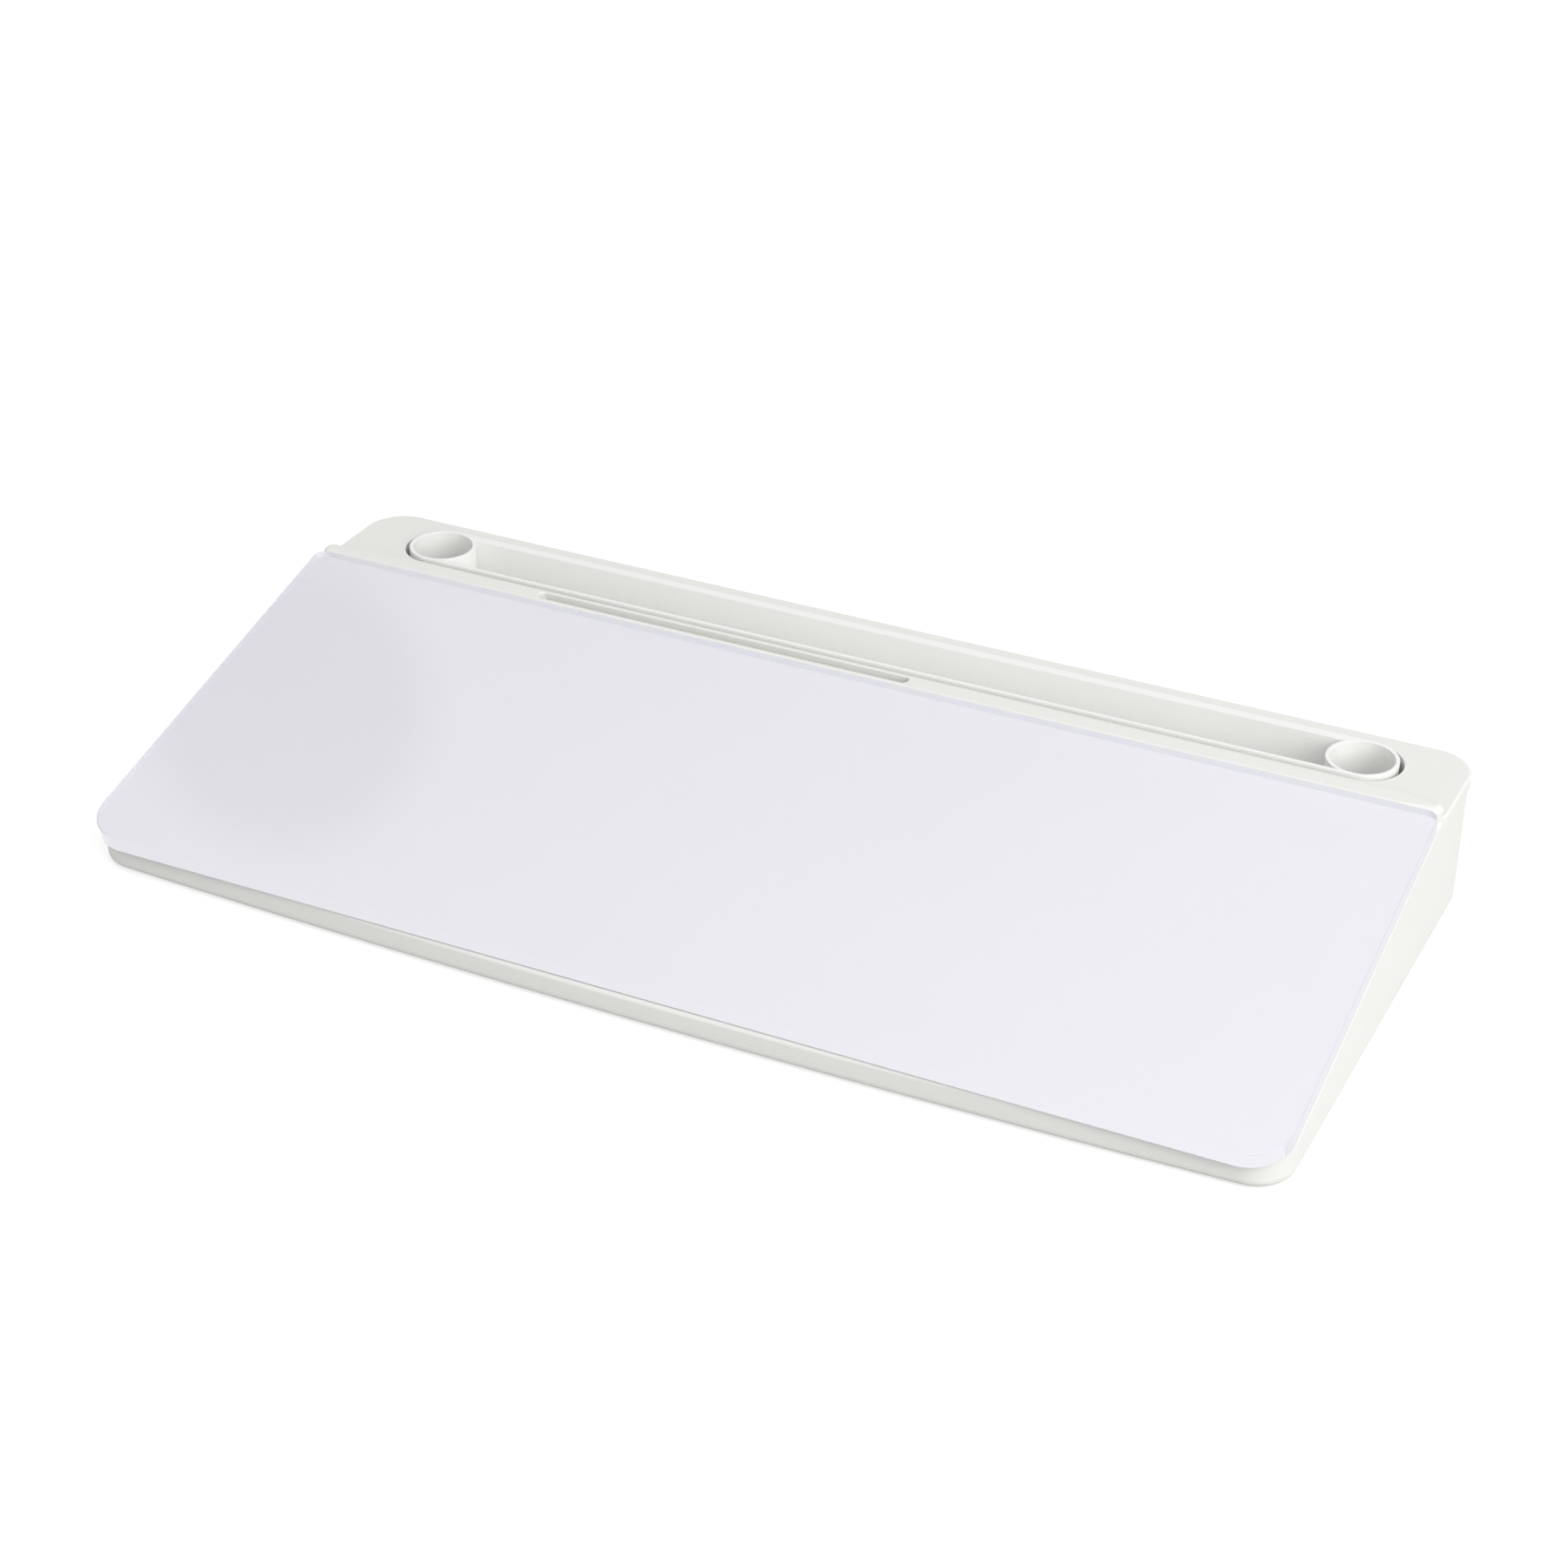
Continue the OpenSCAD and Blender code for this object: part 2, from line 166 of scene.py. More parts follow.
def polished_glass():
    """Clear glass with a few faint wipe marks."""
    material, tree = new_material("toughened_glass")
    place = node(tree, "ShaderNodeTexCoord").outputs["Object"]
    stretched = node(tree, "ShaderNodeMapping", Vector=place, Scale=(1.0, 0.35, 1.0)).outputs[0]
    wiped = node(tree, "ShaderNodeTexNoise", Vector=stretched, Scale=34.0, Detail=5.0, Roughness=0.62)
    haze = node(tree, "ShaderNodeMapRange", Value=wiped.outputs["Fac"], From_Min=0.45, From_Max=0.85,
                To_Min=0.012, To_Max=0.07)
    clear = node(tree, "ShaderNodeBsdfPrincipled", Base_Color=(0.975, 0.985, 0.99, 1), IOR=1.5,
                 Roughness=haze.outputs[0])
    clear.inputs["Transmission Weight"].default_value = 1.0
    lit_through(tree, clear)
    return material


def ground_glass(name, colour):
    """The satin of a ground edge, which is almost as pale as the backing and casts no shadow."""
    material, tree = new_material(name)
    place = node(tree, "ShaderNodeTexCoord").outputs["Object"]
    grit = node(tree, "ShaderNodeTexNoise", Vector=place, Scale=900.0, Detail=2.0)
    tone = node(tree, "ShaderNodeMix", data_type="RGBA", Factor=grit.outputs["Fac"])
    tone.inputs["A"].default_value = (*(0.985 * c for c in colour), 1)
    tone.inputs["B"].default_value = (*(1.015 * c for c in colour), 1)
    gloss = node(tree, "ShaderNodeMapRange", Value=grit.outputs["Fac"], To_Min=0.26, To_Max=0.34)
    edge = node(tree, "ShaderNodeBsdfPrincipled", Base_Color=tone.outputs["Result"],
                Roughness=gloss.outputs[0], IOR=1.5)
    lit_through(tree, edge)
    return material


glass_outline = rounded_outline(glass_high.x, 0, glass_length, glass_front_radius, glass_rear_radius)
glass = lofted("glass", (
    [on_slope(glass_outline, inset, drop) for inset, drop in rounding_steps(lower_arris, 2)[::-1]]
    + [on_slope(glass_outline, inset, glass_thickness - drop)
       for inset, drop in rounding_steps(arris, 4)]))
smooth_shading(glass)
glass.data.materials.append(polished_glass())
# One ground finish in three tones: the paler rear is painted light; the darker sides and their darker
# arrises are painted shade.
glass.data.materials.append(ground_glass("ground_glass_side_painted_shade", (0.685, 0.680, 0.735)))
glass.data.materials.append(ground_glass("ground_glass_arris_painted_shade", (0.590, 0.580, 0.650)))
glass.data.materials.append(ground_glass("ground_glass_rear_painted_light", (0.765, 0.761, 0.802)))
# The front edge keeps its polish; the rear edge, the sides and their arrises are ground.
# Their one finish has three tones: paler on the rear as painted light, darker on the sides and darkest
# on the side arrises as painted shade.
side, side_arris, rear = 1, 2, 3
for face in glass.data.polygons:
    if face.normal.y > 0.4:
        face.material_index = rear
    elif abs(face.normal.x) > 0.9:
        face.material_index = side
    elif abs(face.normal.x) > 0.3 and face.normal.z > 0.35:
        face.material_index = side_arris
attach(glass, "board")
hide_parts("glass_panel")


# --- White backing -----------------------------------------------------------
# A coat of white lacquer with a slight lilac cast, screen printed on the back
# of the glass and baked on. It stops just short of the ground edge.
coating_border = 0.03 * MM
coating_thickness = 0.2 * MM
coating_contact = 0.02 * MM


def baked_lacquer():
    """An even coat with the faint cloudiness of screen printing."""
    material, tree = new_material("white_lacquer")
    place = node(tree, "ShaderNodeTexCoord").outputs["Object"]
    cloud = node(tree, "ShaderNodeTexNoise", Vector=place, Scale=11.0, Detail=3.0)
    mesh_mark = node(tree, "ShaderNodeTexNoise", Vector=place, Scale=900.0, Detail=1.0)
    tone = node(tree, "ShaderNodeMix", data_type="RGBA", Factor=cloud.outputs["Fac"])
    tone.inputs["A"].default_value = (0.737, 0.730, 0.774, 1)
    tone.inputs["B"].default_value = (0.757, 0.749, 0.794, 1)
    grain = node(tree, "ShaderNodeBump", Strength=0.05, Distance=0.05 * MM,
                 Height=mesh_mark.outputs["Fac"])
    coat = node(tree, "ShaderNodeBsdfPrincipled", Base_Color=tone.outputs["Result"], Roughness=0.6,
                Normal=grain.outputs[0])
    node(tree, "ShaderNodeOutputMaterial", Surface=coat.outputs[0])
    return material


backing = lofted("white_backing", [on_slope(glass_outline, coating_border, height)
                                   for height in (-coating_thickness, coating_contact)])
smooth_shading(backing)
backing.data.materials.append(baked_lacquer())
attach(backing, "board")
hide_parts("back_coating")


# --- Foam tape ---------------------------------------------------------------
# Five strips of white double-sided foam tape, which hold the backing of the
# glass to the bed of the case. The open cells show on their cut edges.
def foam():
    """White foam with small open cells, darker in their pits as painted shade."""
    material, tree = new_material("foam_tape")
    place = node(tree, "ShaderNodeTexCoord").outputs["Object"]
    cells = node(tree, "ShaderNodeTexVoronoi", Vector=place, Scale=2600.0)
    # The tone darkens towards the middle of each cell, where the bump sinks it into a pit: painted
    # shade.
    tone = node(tree, "ShaderNodeMix", data_type="RGBA", Factor=cells.outputs["Distance"])
    tone.inputs["A"].default_value = (0.50, 0.50, 0.49, 1)
    tone.inputs["B"].default_value = (0.72, 0.72, 0.70, 1)
    pits = node(tree, "ShaderNodeBump", Strength=0.5, Distance=0.1 * MM,
                Height=cells.outputs["Distance"])
    body = node(tree, "ShaderNodeBsdfPrincipled", Base_Color=tone.outputs["Result"], Roughness=0.9,
                Normal=pits.outputs[0])
    node(tree, "ShaderNodeOutputMaterial", Surface=body.outputs[0])
    return material


tape_finish = foam()
for strip in ("tape_front", "tape_rear", "tape_left", "tape_right", "tape_middle"):
    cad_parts[strip].data.materials.clear()
    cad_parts[strip].data.materials.append(tape_finish)


# --- Upper shell -------------------------------------------------------------
# The upper half of the case, injection moulded in off-white ABS with a satin
# spark-eroded texture and well rounded edges. It carries the glass on its bed,
# and behind that a rail with a card slot and a deck with the tray's opening.
tuck = 0.1 * MM
skim = 0.02 * MM
bed_drop = 0.7 * MM
band_out = 0.5 * MM
band_height = 5 * MM
band_tail = 4 * MM
band_end_radius = 6 * MM
front_bow = 4.4 * MM
front_radius = 14 * MM
rear_radius = 14.5 * MM
rear_lean = 1.1 * MM
rail_height = 5.4 * MM
rail_depth = 7.5 * MM
rail_radius = 3 * MM
rail_narrower = 0.8 * MM
rail_edge_radius = 0.5 * MM
rail_end_edge_radius = 2.4 * MM
rail_ease_start = 16 * MM
rail_ease_length = 14 * MM
slot_middle = -51 * MM
slot_length = 150 * MM
bed_edge_radius = 1.3 * MM
deck_edge_radius = 1.0 * MM
seam_edge_radius = 0.2 * MM
hidden_corner = 0.3 * MM
bed_short_of_deck = 2.5 * MM
rear_under_rail = 4.5 * MM
rear_below_deck = 1.5 * MM
rail_rim_width = 0.5 * MM
deck_rim_width = 2 * MM
band_foot_radius = 0.35 * MM
slot_mouth_radius = 0.8 * MM
opening_mouth_radius = 0.5 * MM

shell_low, shell_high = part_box("upper_shell")
rail_top, seam = shell_high.z, shell_low.z
deck_top = rail_top - rail_height
deck_half = shell_high.x
body_half = deck_half - band_out
wall_rear = shell_high.y - band_out
lean_per_height = rear_lean / (deck_top - band_height - seam)
glass_lean = glass_thickness * math.sin(slope)
glass_gap = 0.3 * MM
rail_foot = glass_high.y + glass_gap
deck_front = rail_foot - glass_lean + rail_depth
lean_start = glass_low.z + glass_length * math.sin(slope)


def body_outline(rear, rear_corner, bow_steps=60):
    """Outline of the case walls, whose front bows out between the corners."""
    half = body_half - tuck
    bow_half = body_half - front_radius
    bow_radius = (bow_half ** 2 + front_bow ** 2) / (2 * front_bow)
    points = rounded_outline(half, shell_low.y + front_bow + tuck, rear - tuck, front_radius - tuck,
                             rear_corner)
    swing = math.asin(bow_half / bow_radius)
    wall_radius = bow_radius - tuck
    for step in range(1, bow_steps):
        turn = swing * (2 * step / bow_steps - 1)
        out_x, out_y = math.sin(turn), -math.cos(turn)
        points.append((wall_radius * out_x, shell_low.y + bow_radius + wall_radius * out_y,
                       out_x, out_y))
    return points


def bed_height(y):
    """Height of the bed that the glass is taped to, at a distance along the board."""
    return glass_foot.z + (y - glass_foot.y) * math.tan(slope) - bed_drop / math.cos(slope) - skim


def ring(outline, inset, height, shifted=None):
    """An outline moved in by the inset and set at the height, each of them a number or a rule."""
    points = []
    for x, y, out_x, out_y in outline:
        depth = inset(x, out_y) if callable(inset) else inset
        x, y = x - depth * out_x, y - depth * out_y
        z = height(x, y) if callable(height) else height
        points.append((x, y if shifted is None else y + shifted(y, z), z))
    return points


def rear_shift(y, z):
    """How far the rear wall leans forward towards the seam."""
    return -lean_per_height * max(deck_top - band_height - z, 0) if y > 0 else 0


def bed_block():
    """The case under the glass, up to the bed and its rounded edge; its rear lies under the rail."""
    outline = body_outline(deck_front - bed_short_of_deck, hidden_corner)
    rings = [ring(outline, inset, seam + drop)
             for inset, drop in rounding_steps(seam_edge_radius, 3)[::-1]]
    for turn in (math.radians(90 * s / 7) for s in range(8)):
        def inset(x, out_y):
            return (bed_edge_radius if out_y < 0.5 else skim) * (1 - math.cos(turn))

        def height(x, y):
            return bed_height(y) - bed_edge_radius * (1 - math.sin(turn))
        rings.append(ring(outline, inset, height))
    return lofted("bed_block", rings)


def rear_block():
    """The case under the deck, whose front lies under the rail and whose top lies inside the band."""
    outline = rounded_outline(body_half - tuck, deck_front - rear_under_rail, wall_rear - tuck,
                              hidden_corner, rear_radius)
    rings = [ring(outline, inset, seam + drop, rear_shift)
             for inset, drop in rounding_steps(seam_edge_radius, 3)[::-1]]
    rings += [ring(outline, 0, height, rear_shift)
              for height in (deck_top - band_height, deck_top - rear_below_deck)]
    return lofted("rear_block", rings)


def deck_band():
    """The edge band round the deck, a little out past the walls, which fades away under the rail."""
    outline = rounded_outline(deck_half - skim, deck_front - band_tail, shell_high.y - skim,
                              band_end_radius, rear_radius + band_out)
    foot = [ring(outline, inset, deck_top - band_height + drop)
            for inset, drop in rounding_steps(band_foot_radius, 3)[::-1]]
    top = [ring(outline, inset, deck_top - skim - drop)
           for inset, drop in rounding_steps(deck_edge_radius, 6)]
    return lofted("deck_band", foot + top)


def divided(outline, longest):
    """The same outline with more points along its straight runs."""
    points = []
    for here, there in zip(outline, outline[1:] + outline[:1]):
        parts = max(1, math.ceil(math.dist(here[:2], there[:2]) / longest))
        for k in range(parts):
            points.append(tuple(a + (b - a) * k / parts for a, b in zip(here, there)))
    return points


def rail_block():
    """The rail, whose top edge is crisp along the slot and well rounded at its two ends."""
    half = deck_half - rail_narrower - skim
    outline = divided(rounded_outline(half, rail_foot + skim, deck_front, rail_radius, rail_radius,
                                      steps=8), longest=3 * MM)

    def radius(x):
        ease = min(max((abs(x) - half + rail_ease_start) / rail_ease_length, 0), 1)
        gain = rail_end_edge_radius - rail_edge_radius
        return rail_edge_radius + gain * ease * ease * (3 - 2 * ease)

    def shift(y, z):
        lean = min(max((z - lean_start) / (rail_top - lean_start), 0), 1)
        return -glass_lean * lean * (deck_front - y) / (deck_front - rail_foot)
    rings = [ring(outline, 0, height, shift) for height in (deck_top - band_height, lean_start)]
    for turn in (math.radians(90 * s / 7) for s in range(8)):
        def inset(x, out_y):
            return radius(x) * (1 - math.cos(turn))

        def height(x, y):
            return rail_top - skim - radius(x) * (1 - math.sin(turn))
        rings.append(ring(outline, inset, height, shift))
    return lofted("rail_block", rings)


def combined(piece, other, operation):
    """Unites or intersects a piece with another one, which is used up."""
    step = piece.modifiers.new("joined", "BOOLEAN")
    step.operation = operation
    step.solver = "MANIFOLD"
    step.object = other
    made_plain(piece)
    piece.data.materials.clear()
    bpy.data.objects.remove(other)
    return piece


def moulded(name, cad_node, radius_of, segments=3):
    """A copy of a CAD piece whose flat faces are whole and whose edges are rounded.

    radius_of gives an edge's radius from its middle, its direction and whether it is an outer edge."""
    shape = bmesh.new()
    shape.from_mesh(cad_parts[cad_node].data)
    bmesh.ops.remove_doubles(shape, verts=shape.verts, dist=0.002 * MM)
    bmesh.ops.dissolve_limit(shape, angle_limit=math.radians(0.4), verts=shape.verts, edges=shape.edges,
                             delimit={"NORMAL"})
    weight = shape.edges.layers.float.new("bevel_weight_edge")
    sharp = math.radians(25)
    widest = 0
    radii = {}
    for edge in shape.edges:
        if len(edge.link_faces) == 2 and edge.calc_face_angle(0) > sharp:
            a, b = (vert.co for vert in edge.verts)
            radii[edge] = radius_of((a + b) / 2, (b - a).normalized(), edge.is_convex)
            widest = max(widest, radii[edge])
    for edge, radius in radii.items():
        edge[weight] = radius / widest
    mesh = bpy.data.meshes.new(name)
    shape.to_mesh(mesh)
    shape.free()
    piece = bpy.data.objects.new(name, mesh)
    bpy.context.scene.collection.objects.link(piece)
    rounding = piece.modifiers.new("rounding", "BEVEL")
    rounding.limit_method = "WEIGHT"
    rounding.width = widest
    rounding.segments = segments
    rounding.use_clamp_overlap = True
    rounding.miter_outer = "MITER_ARC"
    made_plain(piece)
    return piece


def level_with(height, other, within=0.05 * MM):
    """Whether two heights are the same."""
    return abs(height - other) < within


def shell_radius(middle, along, outer):
    """The mouths of the card slot and of the tray opening, clear of the edges of the rail and deck."""
    off_slot = abs(middle.x - slot_middle) - slot_length / 2
    if level_with(middle.z, rail_top) and rail_foot < middle.y < deck_front - rail_rim_width:
        return slot_mouth_radius if off_slot < 1 * MM else 0
    on_deck = deck_front + deck_rim_width < middle.y < wall_rear - deck_rim_width
    if level_with(middle.z, deck_top) and on_deck and abs(middle.x) < body_half - deck_rim_width:
        return opening_mouth_radius
    return 0


def moulded_plastic(name, colour, roughness=0.42):
    """Satin ABS: a fine spark-eroded grain, and a tone and gloss that drift a little over the piece."""
    material, tree = new_material(name)
    place = node(tree, "ShaderNodeTexCoord").outputs["Object"]
    drift = node(tree, "ShaderNodeTexNoise", Vector=place, Scale=18.0, Detail=4.0, Roughness=0.55)
    grain = node(tree, "ShaderNodeTexNoise", Vector=place, Scale=2200.0, Detail=2.0)
    tone = node(tree, "ShaderNodeMix", data_type="RGBA", Factor=drift.outputs["Fac"])
    tone.inputs["A"].default_value = (*(0.985 * c for c in colour), 1)
    tone.inputs["B"].default_value = (*(1.015 * c for c in colour), 1)
    gloss = node(tree, "ShaderNodeMapRange", Value=drift.outputs["Fac"], From_Min=0.3, From_Max=0.7,
                 To_Min=roughness - 0.05, To_Max=roughness + 0.05)
    texture = node(tree, "ShaderNodeBump", Strength=0.12, Distance=0.03 * MM,
                   Height=grain.outputs["Fac"])
    body = node(tree, "ShaderNodeBsdfPrincipled", Base_Color=tone.outputs["Result"],
                Roughness=gloss.outputs[0], Normal=texture.outputs[0], IOR=1.53)
    node(tree, "ShaderNodeOutputMaterial", Surface=body.outputs[0])
    return material


outside = bed_block()
for block in (rear_block, deck_band, rail_block):
    combined(outside, block(), "UNION")
shell = combined(moulded("upper_case", "upper_shell", shell_radius), outside, "INTERSECT")
smooth_shading(shell)
shell.data.materials.append(moulded_plastic("satin_white_plastic", (0.780, 0.780, 0.752)))
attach(shell, "board")
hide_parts("upper_shell")


# --- Base cover --------------------------------------------------------------
# The lower half of the case, moulded in the same plastic. Its lower edge is
# well rounded, it carries the seats of the pen tray, and it closes the case
# from below with eight screws.
base_edge_radius = 2.6 * MM
wall_thickness = 2.4 * MM
hole_rim_radius = 0.3 * MM
room_above = 1 * MM

base_low, base_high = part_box("base_cover")


def base_block():
    """The room that the base fills: its rounded edge, its walls, and what stands up inside the case."""
    outline = body_outline(wall_rear - rear_lean, rear_radius)
    rings = [ring(outline, inset, base_low.z + drop)
             for inset, drop in rounding_steps(base_edge_radius, 6)[::-1]]
    rings += [ring(outline, inset, seam - drop) for inset, drop in rounding_steps(seam_edge_radius, 3)]
    rings += [ring(outline, wall_thickness, height) for height in (seam, base_high.z + room_above)]
    return lofted("base_block", rings)


def base_radius(middle, along, outer):
    """The mouths of the screw holes and of the seats of the feet."""
    flat_edge = abs(along.z) < 0.1
    return hole_rim_radius if level_with(middle.z, base_low.z) and outer and flat_edge else 0


base = combined(moulded("base_case", "base_cover", base_radius), base_block(), "INTERSECT")
smooth_shading(base)
base.data.materials.append(moulded_plastic("base_plastic", (0.765, 0.765, 0.732), roughness=0.45))
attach(base, "board")
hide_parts("base_cover")


# --- Pen tray ----------------------------------------------------------------
# A loose insert that drops into the opening of the deck: a long trough for
# pens with a round marker cup at each end, moulded in one piece with a rim
# that stands a little above the deck.
tray_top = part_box("pen_tray")[1].z
trough_depth = 21 * MM
cup_depth = 32 * MM
rim_radius = 0.6 * MM
floor_radius = 1.6 * MM


def tray_radius(middle, along, outer):
    """The top of the rim, and the inner corners at the floors of the trough and of the cups."""
    if level_with(middle.z, tray_top):
        return rim_radius
    at_floor = any(level_with(middle.z, tray_top - depth) for depth in (trough_depth, cup_depth))
    return floor_radius if at_floor and not outer else 0


tray = moulded("pen_insert", "pen_tray", tray_radius, segments=4)
smooth_shading(tray)
# The tray gets a paler tone than the shell's plastic: painted light that lifts the shade inside the
# trough and the cups.
tray.data.materials.append(moulded_plastic("tray_plastic_painted_light", (0.858, 0.858, 0.842), roughness=0.38))
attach(tray, "tray")
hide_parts("pen_tray")


# --- Feet --------------------------------------------------------------------
# Six soft grey rubber pads, punched from sheet with a rounded rim and glued
# into shallow seats in the underside of the base.
foot_nodes = ("foot_front_left", "foot_front_middle", "foot_front_right",
              "foot_rear_left", "foot_rear_middle", "foot_rear_right")
foot_rim = 0.6 * MM


def tree_with_inputs(name, inputs):
    """A Geometry Nodes tree with named inputs, the outputs of its input node, and its output node."""
    tree = bpy.data.node_groups.new(name, "GeometryNodeTree")
    tree.interface.new_socket("Geometry", in_out="INPUT", socket_type="NodeSocketGeometry")
    for label, (kind, value) in inputs.items():
        socket = tree.interface.new_socket(label, in_out="INPUT", socket_type=kind)
        if kind != "NodeSocketMaterial":
            socket.default_value = value
    tree.interface.new_socket("Geometry", in_out="OUTPUT", socket_type="NodeSocketGeometry")
    return tree, tree.nodes.new("NodeGroupInput").outputs, tree.nodes.new("NodeGroupOutput")


def worked(tree, operation, a, b):
    """The result of a calculation on two values, each a number or an output of the tree."""
    made = tree.nodes.new("ShaderNodeMath")
    made.operation = operation
    for socket, value in zip(made.inputs, (a, b)):
        if isinstance(value, bpy.types.NodeSocket):
            tree.links.new(value, socket)
        else:
            socket.default_value = value
    return made.outputs[0]


def turned_disc(tree, diameter, height, rim, sides):
    """A disc that stands on z = 0, turned round the z axis, its lower rim rounded."""
    top = node(tree, "ShaderNodeCombineXYZ", Z=height)
    axis = node(tree, "GeometryNodeCurvePrimitiveLine", End=top.outputs[0])
    axis = node(tree, "GeometryNodeResampleCurve", Curve=axis.outputs[0], Count=25)
    along = node(tree, "GeometryNodeSplineParameter").outputs["Factor"]
    climb = worked(tree, "MINIMUM", worked(tree, "MULTIPLY", along, height), rim)
    short = worked(tree, "SUBTRACT", 1.0, worked(tree, "DIVIDE", climb, rim))
    level = worked(tree, "SUBTRACT", 1.0, worked(tree, "MULTIPLY", short, short))
    pull_in = worked(tree, "SUBTRACT", 1.0, worked(tree, "SQRT", level, 0))
    half = worked(tree, "MULTIPLY", diameter, 0.5)
    radius = worked(tree, "SUBTRACT", half, worked(tree, "MULTIPLY", rim, pull_in))
    circle = node(tree, "GeometryNodeCurvePrimitiveCircle", Resolution=sides, Radius=1.0)
    disc = node(tree, "GeometryNodeCurveToMesh", Curve=axis.outputs[0],
                Profile_Curve=circle.outputs[0], Scale=radius, Fill_Caps=True)
    return disc.outputs[0]


def set_down(tree, given, wanted, piece):
    """Puts a copy of the piece on each given point, makes the copies real and paints them."""
    copies = node(tree, "GeometryNodeInstanceOnPoints", Points=given["Geometry"], Instance=piece)
    real = node(tree, "GeometryNodeRealizeInstances", Geometry=copies.outputs[0])
    painted = node(tree, "GeometryNodeSetMaterial", Geometry=real.outputs[0],
                   Material=given["Material"])
    tree.links.new(painted.outputs[0], wanted.inputs[0])


def grown(name, points, tree, values):
    """A piece that a tree grows from points, with each of its inputs set by name."""
    mesh = bpy.data.meshes.new(name)
    mesh.from_pydata(points, [], [])
    piece = bpy.data.objects.new(name, mesh)
    bpy.context.scene.collection.objects.link(piece)
    growth = piece.modifiers.new("growth", "NODES")
    growth.node_group = tree
    for socket in tree.interface.items_tree:
        if socket.in_out == "INPUT" and socket.name in values:
            growth[socket.identifier] = values[socket.name]
    made_plain(piece)
    return piece


def rubber():
    """Matt rubber with a fine dusty bloom."""
    material, tree = new_material("grey_rubber")
    place = node(tree, "ShaderNodeTexCoord").outputs["Object"]
    bloom = node(tree, "ShaderNodeTexNoise", Vector=place, Scale=240.0, Detail=5.0)
    tone = node(tree, "ShaderNodeMix", data_type="RGBA", Factor=bloom.outputs["Fac"])
    tone.inputs["A"].default_value = (0.150, 0.150, 0.152, 1)
    tone.inputs["B"].default_value = (0.230, 0.230, 0.228, 1)
    grain = node(tree, "ShaderNodeBump", Strength=0.35, Distance=0.06 * MM,
                 Height=bloom.outputs["Fac"])
    pad = node(tree, "ShaderNodeBsdfPrincipled", Base_Color=tone.outputs["Result"], Roughness=0.86,
               Normal=grain.outputs[0])
    node(tree, "ShaderNodeOutputMaterial", Surface=pad.outputs[0])
    return material


def foot_tree():
    """A rubber pad on each point."""
    tree, given, wanted = tree_with_inputs("rubber_foot", {
        "Diameter": ("NodeSocketFloat", 12 * MM),
        "Height": ("NodeSocketFloat", 1.8 * MM),
        "Rim": ("NodeSocketFloat", foot_rim),
        "Material": ("NodeSocketMaterial", None)})
    pad = turned_disc(tree, given["Diameter"], given["Height"], given["Rim"], sides=40)
    set_down(tree, given, wanted, pad)
    return tree


foot_boxes = [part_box(name) for name in foot_nodes]
foot_size = foot_boxes[0][1] - foot_boxes[0][0]
foot_places = [((low.x + high.x) / 2, (low.y + high.y) / 2, low.z) for low, high in foot_boxes]
feet = grown("rubber_feet", foot_places, foot_tree(), {
    "Diameter": foot_size.x,
    "Height": foot_size.z,
    "Rim": foot_rim,
    "Material": rubber()})
smooth_shading(feet)
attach(feet, "board")
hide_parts(*foot_nodes)


# --- Base screws -------------------------------------------------------------
# Eight zinc-plated pan-head screws with a cross recess, driven up through the
# base into the bosses of the upper shell. Their heads lie sunk in the
# underside, out of the way of the desk.
head_diameter = 5.6 * MM
head_height = 1.9 * MM
head_rim = 1.1 * MM
shank_start = 0.9  # of the height of the head
shank_diameter = 2.9 * MM
cross_width = 0.9 * MM
cross_length = 3.0 * MM
cross_depth = 1.0 * MM

screws_low, screws_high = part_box("base_screws")


def zinc():
    """Bright zinc plate, a little duller in fine specks."""
    material, tree = new_material("zinc_plate")
    place = node(tree, "ShaderNodeTexCoord").outputs["Object"]
    dull = node(tree, "ShaderNodeTexNoise", Vector=place, Scale=700.0, Detail=3.0)
    tone = node(tree, "ShaderNodeMix", data_type="RGBA", Factor=dull.outputs["Fac"])
    tone.inputs["A"].default_value = (0.56, 0.57, 0.58, 1)
    tone.inputs["B"].default_value = (0.74, 0.74, 0.73, 1)
    sheen = node(tree, "ShaderNodeMapRange", Value=dull.outputs["Fac"], From_Min=0.3, From_Max=0.7,
                 To_Min=0.24, To_Max=0.42)
    plate = node(tree, "ShaderNodeBsdfPrincipled", Base_Color=tone.outputs["Result"], Metallic=1.0,
                 Roughness=sheen.outputs[0])
    node(tree, "ShaderNodeOutputMaterial", Surface=plate.outputs[0])
    return material


